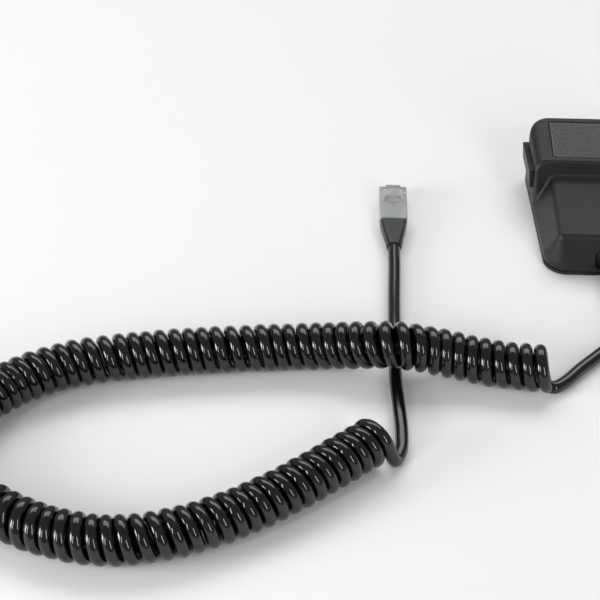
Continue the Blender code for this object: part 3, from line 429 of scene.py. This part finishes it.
NYLON = textured(
    "nylon_white", (0.70, 0.68, 0.62), (0.80, 0.78, 0.72), (0.42, 0.55),
    0.0, 2600.0, 0.00002
)
GOLD = textured(
    "contact_gold", (0.78, 0.56, 0.20), (0.88, 0.66, 0.28), (0.18, 0.30),
    1.0, 3600.0, 0.00001
)
CLEAR = clear_material()
LEAD_MATERIALS = [
    textured("lead_red", (0.50, 0.03, 0.02), (0.60, 0.05, 0.04), (0.3, 0.4)),
    textured("lead_white", (0.74, 0.74, 0.72), (0.82, 0.82, 0.80), (0.3, 0.4)),
    textured("lead_green", (0.02, 0.25, 0.06), (0.03, 0.32, 0.09), (0.3, 0.4)),
    textured("lead_black", (0.014, 0.014, 0.014), (0.024, 0.024, 0.024), (0.3, 0.4)),
]


# Distance fields ----------------------------------------------------------------------------------
# Each takes an array of points and gives how far they lie outside a surface, negative inside it.


def rounded_max(a, b, radius):
    """The overlap of two solids, with their shared edge rounded."""
    corner = np.hypot(np.maximum(a + radius, 0.0), np.maximum(b + radius, 0.0))
    return np.minimum(np.maximum(a, b), -radius) + corner


def rounded_min(a, b, radius):
    """Two solids joined, with a fillet along their seam."""
    return -rounded_max(-a, -b, radius)


def eased(value, begin, end):
    share = np.clip((value - begin) / (end - begin), 0.0, 1.0)
    return share * share * (3.0 - 2.0 * share)


def between(value, low, high):
    return np.maximum(low - value, value - high)


def half_width(y):
    return TAIL_HALF_WIDTH + (HEAD_HALF_WIDTH - TAIL_HALF_WIDTH) * (y - TAIL) / LENGTH


def seam_field(p):
    """The upright walls over the seam's outline."""
    side = np.abs(p[..., 0]) - half_width(p[..., 1])
    walls = rounded_max(side, TAIL - p[..., 1], TAIL_RADIUS)
    return rounded_max(walls, p[..., 1] - HEAD, HEAD_RADIUS)


def body_field(p):
    """The sloping body under the lower face, whose upright corners are cones."""
    x, y, z = np.abs(p[..., 0]), p[..., 1], p[..., 2]
    rise = (z - SKIRT_TOP) / (FACE_HEIGHT - SKIRT_TOP)
    share = np.clip((rise + np.hypot(rise, FACE_SOFTNESS)) / 2, 0.0, 1.0)
    along = (y - TAIL) / LENGTH
    side_slope = FACE_SIDE_INSET + along * (HEAD_HALF_WIDTH - TAIL_HALF_WIDTH - FACE_FLARE)
    lean = math.cos(math.atan(TAIL_SLOPE_INSET / (FACE_HEIGHT - SKIRT_TOP)))
    side = (x - half_width(y) + share * side_slope) * lean
    tail = (TAIL + share * TAIL_SLOPE_INSET - y) * lean
    head = y - HEAD + share * HEAD_SLOPE_INSET
    walls = rounded_max(side, tail, TAIL_RADIUS * (1 - share) + FACE_EDGE_RADIUS * share)
    walls = rounded_max(walls, head, HEAD_RADIUS * (1 - share) + FACE_EDGE_RADIUS * share)
    return rounded_max(walls, z - FACE_HEIGHT, FACE_RIM_RADIUS)


def head_field(p):
    """The raised head with its tilted face and the leaning step down to the body. Its upper edges
    grow rounder towards the sides, and sharper again at the far corners."""
    x, y, z = np.abs(p[..., 0]), p[..., 1], p[..., 2]
    outward = eased(x, 0.024, 0.031)
    taper = 1.0 - 0.7 * eased(y, HEAD - 0.009, HEAD - 0.001)
    side = x - half_width(y) - 0.0001
    far = y - HEAD + 0.00015 + 0.01 * np.maximum(z - SKIRT_TOP, 0.0)
    walls = rounded_max(side, far, HEAD_RADIUS)
    face = (z - HEAD_NEAR_HEIGHT - (y - HEAD_NEAR) * math.tan(HEAD_TILT)) * math.cos(HEAD_TILT)
    block = rounded_max(walls, face, 0.0009 + 0.0034 * outward * taper)
    cheek = 0.0008 * eased(x, 0.025, 0.030)
    step = HEAD_NEAR - cheek - STEP_LEAN * (HEAD_NEAR_HEIGHT - z) - y
    step *= math.cos(math.atan(STEP_LEAN))
    return rounded_max(block, step, 0.0006 + 0.0010 * outward)


def housing_field(p):
    """The outside of the front shell, as if it were solid."""
    fillet = np.clip(0.38 * (p[..., 2] - SKIRT_TOP), 0.00005, STEP_FILLET)
    return rounded_min(body_field(p), head_field(p), fillet)


def in_head_frame(p):
    """Coordinates on the head's face: across it, up it and out of it."""
    y = p[..., 1] - HEAD_MIDDLE
    z = p[..., 2] - HEAD_NEAR_HEIGHT - (HEAD_MIDDLE - HEAD_NEAR) * math.tan(HEAD_TILT)
    cos, sin = math.cos(HEAD_TILT), math.sin(HEAD_TILT)
    return p[..., 0], y * cos + z * sin, z * cos - y * sin


def grille_field(p, margin):
    """The upright walls round the grille, pushed out by a margin."""
    x, up, out = in_head_frame(p)
    side = np.abs(x) - GRILLE_HALF_WIDTH - (up - GRILLE_MIDDLE) * GRILLE_FLARE - margin
    ends = np.abs(up - GRILLE_MIDDLE) - GRILLE_HALF_LENGTH - margin
    return rounded_max(side, ends, 0.0008), out


def front_shell_field(p):
    """The front shell: a wall, the block behind the cord's exit, and what is cut out of them."""
    x, y, z = p[..., 0], p[..., 1], p[..., 2]
    outside = housing_field(p)
    shell = rounded_max(outside, -(outside + WALL), 0.0001)
    block = between(x, -EXIT_HALF_WIDTH - WALL, EXIT_HALF_WIDTH + WALL)
    block = np.maximum(block, y - TAIL - EXIT_BLOCK)
    block = np.maximum(np.maximum(block, z - CORD_EXIT_HEIGHT - EXIT_BLOCK_RISE), outside + 0.0003)
    shell = np.minimum(shell, block)
    shell = rounded_max(shell, SEAM - z, 0.0003)

    upward = np.abs(z - CORD_EXIT_HEIGHT) - EXIT_HALF_HEIGHT
    pocket = rounded_max(np.abs(x) - EXIT_HALF_WIDTH, upward, EXIT_CORNER_RADIUS)
    pocket = rounded_max(pocket, y - TAIL - EXIT_DEPTH, 0.0008)
    bore = np.hypot(x, z - CORD_EXIT_HEIGHT) - EXIT_BORE_RADIUS
    bore = np.maximum(bore, y - TAIL - EXIT_BORE_DEPTH)
    shell = rounded_max(shell, -pocket, 0.0005)
    shell = rounded_max(shell, -bore, 0.0002)

    walls, out = grille_field(p, GAP * 0.8)
    rebate = np.maximum(walls, -REBATE_DEPTH - out)
    along = np.abs(in_head_frame(p)[1] - GRILLE_MIDDLE) - SOUND_HALF_LENGTH
    sound = np.maximum(np.abs(x) - SOUND_HALF_WIDTH, along)
    sound = np.maximum(sound, -SOUND_DEPTH - out)
    shell = rounded_max(shell, -rebate, 0.0002)
    shell = rounded_max(shell, -sound, 0.0002)

    upright = between(z, KEY_BOTTOM - GAP, KEY_TOP + GAP)
    window = rounded_max(between(y, KEY_START - GAP, KEY_END + GAP), upright, 0.0009)
    window = np.maximum(window, x - KEY_INSIDE - KEY_TRAVEL - GAP)
    return rounded_max(shell, -window, 0.0003)


def from_screw(x, y, name):
    """How far points lie from a shell screw's axis."""
    low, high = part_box(name)
    return np.hypot(x - (low[0] + high[0]) / 2, y - (low[1] + high[1]) / 2)


def back_shell_field(p):
    """The back shell: a plate with a raised lip, four screw pads and the stepped holes in them."""
    x, y, z = p[..., 0], p[..., 1], p[..., 2]
    walls = seam_field(p)
    thickness = SEAM - GAP
    plate = rounded_max(walls, z - thickness, 0.0002)
    plate = rounded_max(plate, -z, 0.0006)
    ring = between(walls, -WALL - GAP - LIP_WALL, -WALL - GAP)
    lip = np.maximum(ring, between(z, LIP_ROOT, thickness + LIP_HEIGHT))
    notch = np.maximum(np.abs(x) - EXIT_HALF_WIDTH - WALL - GAP, y - TAIL - EXIT_BLOCK - GAP)
    plate = np.minimum(plate, rounded_max(lip, -notch, 0.0002))
    for name in SHELL_SCREWS:
        away = from_screw(x, y, name) - SCREW_PAD_RADIUS
        pad = np.maximum(away, between(z, LIP_ROOT, thickness + SCREW_PAD_RISE))
        plate = rounded_min(plate, pad, 0.0004)
    for name in SHELL_SCREWS:
        away = from_screw(x, y, name)
        recess = np.maximum(away - SCREW_RECESS_RADIUS, z - SCREW_RECESS_TOP)
        hole = np.minimum(away - SCREW_HOLE_RADIUS, recess)
        plate = rounded_max(plate, -hole, 0.0002)
    return plate


def key_field(p):
    """The talk key: a cap parallel to the side wall, and the lips that keep it in."""
    x, y, z = p[..., 0], p[..., 1], p[..., 2]
    face = -x - half_width(y) - KEY_PROUD + KEY_DRAFT * (KEY_TOP - z) / (KEY_TOP - KEY_BOTTOM)
    ends = between(y, KEY_START, KEY_END)
    near = rounded_max(KEY_BOTTOM - z, KEY_START - y, 0.0016)
    far = rounded_max(z - KEY_TOP, y - KEY_END, 0.0007)
    sides = rounded_max(rounded_max(near, far, 0.0006), ends, 0.0004)
    cap = rounded_max(sides, face, 0.0005)
    cap = np.maximum(cap, rounded_max(face, KEY_BOTTOM - z, 0.0015))
    cap = rounded_max(cap, x - KEY_INSIDE, 0.0003)
    lips = between(x, KEY_INSIDE - 0.0006, KEY_INSIDE + KEY_LIP_DEPTH)
    lips = np.maximum(lips, between(y, KEY_START + 0.0035, KEY_END - 0.007))
    upright = between(z, KEY_BOTTOM - KEY_LIP_HEIGHT, KEY_TOP + KEY_LIP_HEIGHT)
    lips = rounded_max(lips, upright, 0.0003)
    return np.minimum(cap, lips)


def skin(name, field, low, high, step, material):
    """A closed quad mesh on the surface where the field is zero: one point for each cell that the
    surface crosses, evened out and drawn onto the surface."""
    low, high = np.array(low), np.array(high)
    counts = np.ceil((high - low) / step).astype(int) + 1
    axes = [low[i] + step * np.arange(counts[i]) for i in range(3)]
    grid = np.stack(np.meshgrid(*axes, indexing="ij"), axis=-1)
    inside = field(grid) < 0.0
    filled = np.zeros(counts - 1, dtype=int)
    for i in (0, 1):
        for j in (0, 1):
            for k in (0, 1):
                filled += inside[i:counts[0] - 1 + i, j:counts[1] - 1 + j, k:counts[2] - 1 + k]
    crossed = (filled > 0) & (filled < 8)
    number = np.full(crossed.shape, -1)
    number[crossed] = np.arange(crossed.sum())
    points = low + step * (np.argwhere(crossed) + 0.5)

    quads = []
    for axis in range(3):
        a, b = [i for i in range(3) if i != axis]
        if axis == 1:
            a, b = b, a
        here = [slice(None)] * 3
        there = [slice(None)] * 3
        here[axis], there[axis] = slice(None, -1), slice(1, None)
        leaving = inside[tuple(here)] & ~inside[tuple(there)]
        entering = ~inside[tuple(here)] & inside[tuple(there)]
        for edges, order in ((leaving, (0, 1, 2, 3)), (entering, (3, 2, 1, 0))):
            cells = np.argwhere(edges)
            ring = []
            for shift_a, shift_b in ((-1, -1), (0, -1), (0, 0), (-1, 0)):
                cell = cells.copy()
                cell[:, a] += shift_a
                cell[:, b] += shift_b
                ring.append(number[tuple(cell.T)])
            quads.append(np.stack([ring[i] for i in order], axis=-1))
    quads = np.concatenate(quads)

    starts = quads.reshape(-1)
    ends = np.roll(quads, -1, axis=1).reshape(-1)
    pairs = np.unique(np.sort(np.stack([starts, ends], axis=-1), axis=-1), axis=0)
    degree = np.bincount(pairs.reshape(-1), minlength=len(points))[:, None]
    for turn in range(SMOOTHING_ROUNDS + 1):
        for _ in range(2):
            points = onto_surface(field, points, step)
        if turn < SMOOTHING_ROUNDS:
            middle = np.zeros_like(points)
            np.add.at(middle, pairs[:, 0], points[pairs[:, 1]])
            np.add.at(middle, pairs[:, 1], points[pairs[:, 0]])
            points = points + 0.4 * (middle / degree - points)

    mesh = bpy.data.meshes.new(name)
    mesh.from_pydata(points.tolist(), [], quads.tolist())
    mesh.shade_smooth()
    mesh.materials.append(material)
    piece = bpy.data.objects.new(name, mesh)
    bpy.context.scene.collection.objects.link(piece)
    return piece


def onto_surface(field, points, step):
    """Moves points along the field's slope towards its zero, at most half a step."""
    reach = 0.02 * step
    value = field(points)
    slope = np.empty_like(points)
    for axis in range(3):
        nudge = np.zeros(3)
        nudge[axis] = reach
        slope[:, axis] = (field(points + nudge) - field(points - nudge)) / (2 * reach)
    steepness = np.maximum((slope**2).sum(axis=1), 0.25)
    travel = slope * (-value / steepness)[:, None]
    length = np.maximum(np.linalg.norm(travel, axis=1, keepdims=True), 1e-12)
    return points + travel * np.minimum(1.0, 0.5 * step / length)


# Pieces -------------------------------------------------------------------------------------------


def settle(piece, body, *nodes, slot):
    """Puts a piece on its body, in place of its CAD nodes. The slot argument is not used."""
    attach(piece, body)
    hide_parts(*nodes)


def padded_box(node, margin):
    low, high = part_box(node)
    return [value - margin for value in low], [value + margin for value in high]


def add_housing():
    """Both shells and the talk key, the key on a finer grid than the shells."""
    step = CELL
    low, high = padded_box("front_shell", 0.001)
    front = skin("front_cover", front_shell_field, low, high, step, SHELL)
    settle(front, "housing", "front_shell", slot="shell_black")
    low, high = padded_box("back_shell", 0.001)
    back = skin("back_cover", back_shell_field, low, high, step, BACK)
    settle(back, "housing", "back_shell", slot="back_black")
    low, high = padded_box("ptt_button", 0.001)
    key = skin("talk_key_cap", key_field, low, high, 0.6 * step, KEY)
    settle(key, "talk_key", "ptt_button", slot="key_black")


def flat_mesh(name, outline, holes, thickness, material):
    """A flat sheet with holes, as the filled curve of its outline."""
    curve = bpy.data.curves.new(name, "CURVE")
    curve.dimensions = "2D"
    curve.fill_mode = "BOTH"
    curve.extrude = thickness / 2
    for ring in [outline, *holes]:
        spline = curve.splines.new("POLY")
        spline.points.add(len(ring) - 1)
        for point, (x, y) in zip(spline.points, ring):
            point.co = (x, y, 0.0, 1.0)
        spline.use_cyclic_u = True
    guide = bpy.data.objects.new(name, curve)
    bpy.context.scene.collection.objects.link(guide)
    shaped = guide.evaluated_get(bpy.context.evaluated_depsgraph_get())
    mesh = bpy.data.meshes.new_from_object(shaped)
    bpy.data.objects.remove(guide, do_unlink=True)
    builder = bmesh.new()
    builder.from_mesh(mesh)
    bmesh.ops.remove_doubles(builder, verts=builder.verts, dist=0.000001)
    builder.to_mesh(mesh)
    builder.free()
    mesh.materials.clear()
    mesh.materials.append(material)
    piece = bpy.data.objects.new(name, mesh)
    bpy.context.scene.collection.objects.link(piece)
    return piece


def add_grille():
    """The perforated sheet: a square lattice of holes turned by half a right angle."""

    def half_at(up):
        return GRILLE_HALF_WIDTH + (up - GRILLE_MIDDLE) * GRILLE_FLARE

    near, far = GRILLE_MIDDLE - GRILLE_HALF_LENGTH, GRILLE_MIDDLE + GRILLE_HALF_LENGTH
    outline = [
        (-half_at(near), near),
        (half_at(near), near),
        (half_at(far), far),
        (-half_at(far), far),
    ]
    row_gap = HOLE_PITCH / math.sqrt(2)
    margin = HOLE_RADIUS + GRILLE_BORDER
    rows = int(GRILLE_HALF_LENGTH / row_gap)
    columns = int(GRILLE_HALF_WIDTH / (2 * row_gap)) + 1
    holes = []
    for row in range(-rows, rows + 1):
        up = GRILLE_MIDDLE + row * row_gap
        for column in range(-columns, columns + 1):
            across = (2 * column + row % 2) * row_gap
            past_side = abs(across) > half_at(up) - margin
            past_end = abs(up - GRILLE_MIDDLE) > GRILLE_HALF_LENGTH - margin
            if past_side or past_end:
                continue
            ring = []
            for i in range(HOLE_SIDES):
                angle = math.tau * i / HOLE_SIDES
                ring.append((across + HOLE_RADIUS * math.cos(angle), up + HOLE_RADIUS * math.sin(angle)))
            holes.append(ring)
    grille = flat_mesh("perforated_grille", outline, holes, GRILLE_THICKNESS, GRILLE)
    middle_depth = -REBATE_DEPTH + GAP + GRILLE_THICKNESS / 2
    turn = Matrix.Rotation(HEAD_TILT, 4, "X")
    middle = (0.0, HEAD_MIDDLE, HEAD_NEAR_HEIGHT + (HEAD_MIDDLE - HEAD_NEAR) * math.tan(HEAD_TILT))
    place = Matrix.Translation(middle) @ turn @ Matrix.Translation((0.0, 0.0, middle_depth))
    grille.data.transform(place)
    settle(grille, "housing", "grille", slot="grille_black")


def turned_mesh(name, profile, steps, material):
    """A hollow solid turned about Z from the closed outline of its wall, in (radius, z) points."""
    builder = bmesh.new()
    verts = [builder.verts.new((radius, 0.0, z)) for radius, z in profile]
    edges = [builder.edges.new(pair) for pair in zip(verts, verts[1:])]
    edges.append(builder.edges.new((verts[-1], verts[0])))
    bmesh.ops.spin(
        builder,
        geom=verts + edges,
        angle=math.tau,
        steps=steps,
        axis=(0, 0, 1),
        cent=(0, 0, 0),
        use_merge=True,
    )
    bmesh.ops.remove_doubles(builder, verts=builder.verts, dist=0.000001)
    bmesh.ops.recalc_face_normals(builder, faces=builder.faces)
    mesh = bpy.data.meshes.new(name)
    builder.to_mesh(mesh)
    builder.free()
    mesh.shade_smooth()
    mesh.set_sharp_from_angle(angle=math.radians(35))
    mesh.materials.append(material)
    piece = bpy.data.objects.new(name, mesh)
    bpy.context.scene.collection.objects.link(piece)
    return piece


def add_relief():
    """The tapered strain relief, ringed by grooves that let it bend."""
    bore = CORD_RADIUS + 0.0001
    tip = bore + 0.0007
    length = RELIEF_LENGTH
    profile = [(bore, length), (bore + 0.0004, length), (tip, length - 0.0004)]
    for i in range(GROOVE_COUNT):
        middle = length - FIRST_GROOVE - i * GROOVE_PITCH
        for away, depth in (
            (0.00085, 0.0),
            (0.0006, GROOVE_DEPTH),
            (-0.0006, GROOVE_DEPTH),
            (-0.00085, 0.0),
        ):
            height = middle + away
            radius = tip + (RELIEF_ROOT_RADIUS - tip) * (length - height) / length
            profile.append((max(radius - depth, bore + 0.0003), height))
    profile += [
        (RELIEF_ROOT_RADIUS, RELIEF_SHOULDER),
        (RELIEF_ROOT_RADIUS, RELIEF_SHOULDER_BACK),
        (RELIEF_NECK_RADIUS, RELIEF_SHOULDER_BACK),
        (RELIEF_NECK_RADIUS, RELIEF_FLANGE_FRONT),
        (RELIEF_FLANGE_RADIUS, RELIEF_FLANGE_FRONT),
        (RELIEF_FLANGE_RADIUS, RELIEF_BACK),
        (bore, RELIEF_BACK),
    ]
    relief = turned_mesh("strain_relief_boot", profile, 48, RELIEF)
    place = Matrix.Translation((0.0, TAIL, CORD_EXIT_HEIGHT))
    relief.data.transform(place @ Matrix.Rotation(math.radians(90), 4, "X"))
    settle(relief, "housing", "strain_relief", slot="relief_rubber")


def smooth_through(points, longest):
    """Points on a smooth curve through all the given ones, no further apart than the longest gap."""
    points = [Vector(point) for point in points]
    knots = [2 * points[0] - points[1], *points, 2 * points[-1] - points[-2]]
    route = []
    for a, b, c, d in zip(knots, knots[1:], knots[2:], knots[3:]):
        times = [0.0]
        for first, second in ((a, b), (b, c), (c, d)):
            times.append(times[-1] + max((second - first).length, 1e-9) ** 0.5)
        count = max(1, math.ceil((c - b).length / longest))
        for i in range(count):
            t = times[1] + (times[2] - times[1]) * i / count
            ab = a.lerp(b, (t - times[0]) / (times[1] - times[0]))
            bc = b.lerp(c, (t - times[1]) / (times[2] - times[1]))
            cd = c.lerp(d, (t - times[2]) / (times[3] - times[2]))
            abc = ab.lerp(bc, (t - times[0]) / (times[2] - times[0]))
            bcd = bc.lerp(cd, (t - times[1]) / (times[3] - times[1]))
            route.append(abc.lerp(bcd, (t - times[1]) / (times[2] - times[1])))
    route.append(points[-1])
    return route


def helix(axis_points):
    """The wound part: a right-handed helix about a smooth axis, entered low at its near end. Its
    turns vary a little in spacing and size, and their tops lean to the left."""
    axis = smooth_through(axis_points, 0.0005)
    lengths = [0.0]
    for first, second in zip(axis, axis[1:]):
        lengths.append(lengths[-1] + (second - first).length)
    up = Vector((0.0, 0.0, 1.0))
    start_angle, end_angle = -1.05, 0.97 * math.pi
    whole_turns = round((lengths[-1] / CURL_PITCH) - (end_angle - start_angle) / math.tau)
    sweep = whole_turns * math.tau + end_angle - start_angle
    count = int(sweep / math.tau * STEPS_PER_TURN)
    points = []
    at = 0
    for i in range(count + 1):
        share = i / count
        angle = start_angle + sweep * share
        sway = 0.0005 * math.sin(angle * 0.093) + 0.0003 * math.sin(angle * 0.217 + 1.3)
        target = min(max(lengths[-1] * share + sway * 4 * share * (1 - share), 0.0), lengths[-1])
        while at < len(lengths) - 2 and lengths[at + 1] < target:
            at += 1
        while at > 0 and lengths[at] > target:
            at -= 1
        part = (target - lengths[at]) / max(lengths[at + 1] - lengths[at], 1e-9)
        middle = axis[at].lerp(axis[at + 1], part)
        before, after = axis[max(at - 6, 0)], axis[min(at + 7, len(axis) - 1)]
        forward = (after - before).normalized()
        side = up.cross(forward).normalized()
        rise = forward.cross(side)
        radius = CURL_WIRE_RADIUS + 0.00008 * math.sin(angle * 0.31)
        around = side * math.cos(angle) + rise * math.sin(angle)
        lean = forward * forward.x * CURL_LEAN * math.sin(angle)
        points.append(middle + around * radius - lean)
    return points


def add_cord():
    """The whole cord as one line: the lead from the microphone, the curl and the lead to the plug.
    Its ends run on a little, into the strain relief and the plug's boot."""
    coil = helix(CURL_ROUTE)
    path = smooth_through([*LEAD_ROUTE, *coil, *TAIL_ROUTE], 0.002)
    path = [Vector((point.x, point.y, max(point.z, CORD_RADIUS))) for point in path]
    path[0] += (path[0] - path[1]).normalized() * END_SINK
    path[-1] += (path[-1] - path[-2]).normalized() * END_SINK
    curve = bpy.data.curves.new("curly_cord", "CURVE")
    curve.dimensions = "3D"
    curve.bevel_depth = CORD_RADIUS
    curve.bevel_resolution = 4
    curve.use_fill_caps = True
    spline = curve.splines.new("POLY")
    spline.points.add(len(path) - 1)
    for point, place in zip(spline.points, path):
        point.co = (*place, 1.0)
    spline.use_smooth = True
    curve.materials.append(CORD)
    cord = bpy.data.objects.new("curly_cord", curve)
    bpy.context.scene.collection.objects.link(cord)
    settle(cord, "housing", "cord_lead", "cord_curl", "cord_tail", slot="cord_black")
    plug = [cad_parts[name] for name in ("plug_boot", "plug_body", "plug_latch")]
    plug += [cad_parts[f"plug_contact_{i}"] for i in range(1, 9)]


def dress_cad_nodes():
    """Gives each CAD node that no piece replaces its material."""
    looks = {
        "grille_cloth": CLOTH,
        "capsule_boot": RUBBER,
        "mic_capsule": CAN,
        "capsule_bracket": PLATED,
        "switch_body": SWITCH,
        "switch_plunger": RED,
        "circuit_board": BOARD,
        "preamp_chip": CHIP,
        "cable_header": NYLON,
        "lead_connector": NYLON,
        "cord_clamp": SWITCH,
        "inner_cord": CORD,
        "plug_boot": RELIEF,
        "plug_body": CLEAR,
        "plug_latch": CLEAR,
    }
    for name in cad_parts:
        if "screw" in name:
            looks[name] = SCREW
        elif name.startswith("audio_capacitor"):
            looks[name] = SLEEVE
        elif name.startswith("plug_contact"):
            looks[name] = GOLD
        elif name.startswith(("lead_", "capsule_lead_")) and name[-1].isdigit():
            looks[name] = LEAD_MATERIALS[int(name[-1]) - 1]
    for name, material in looks.items():
        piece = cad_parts[name]
        for place in piece.material_slots:
            place.material = material


add_camera()
add_floor()
add_studio()
add_cord()
add_housing()
add_grille()
add_relief()
dress_cad_nodes()
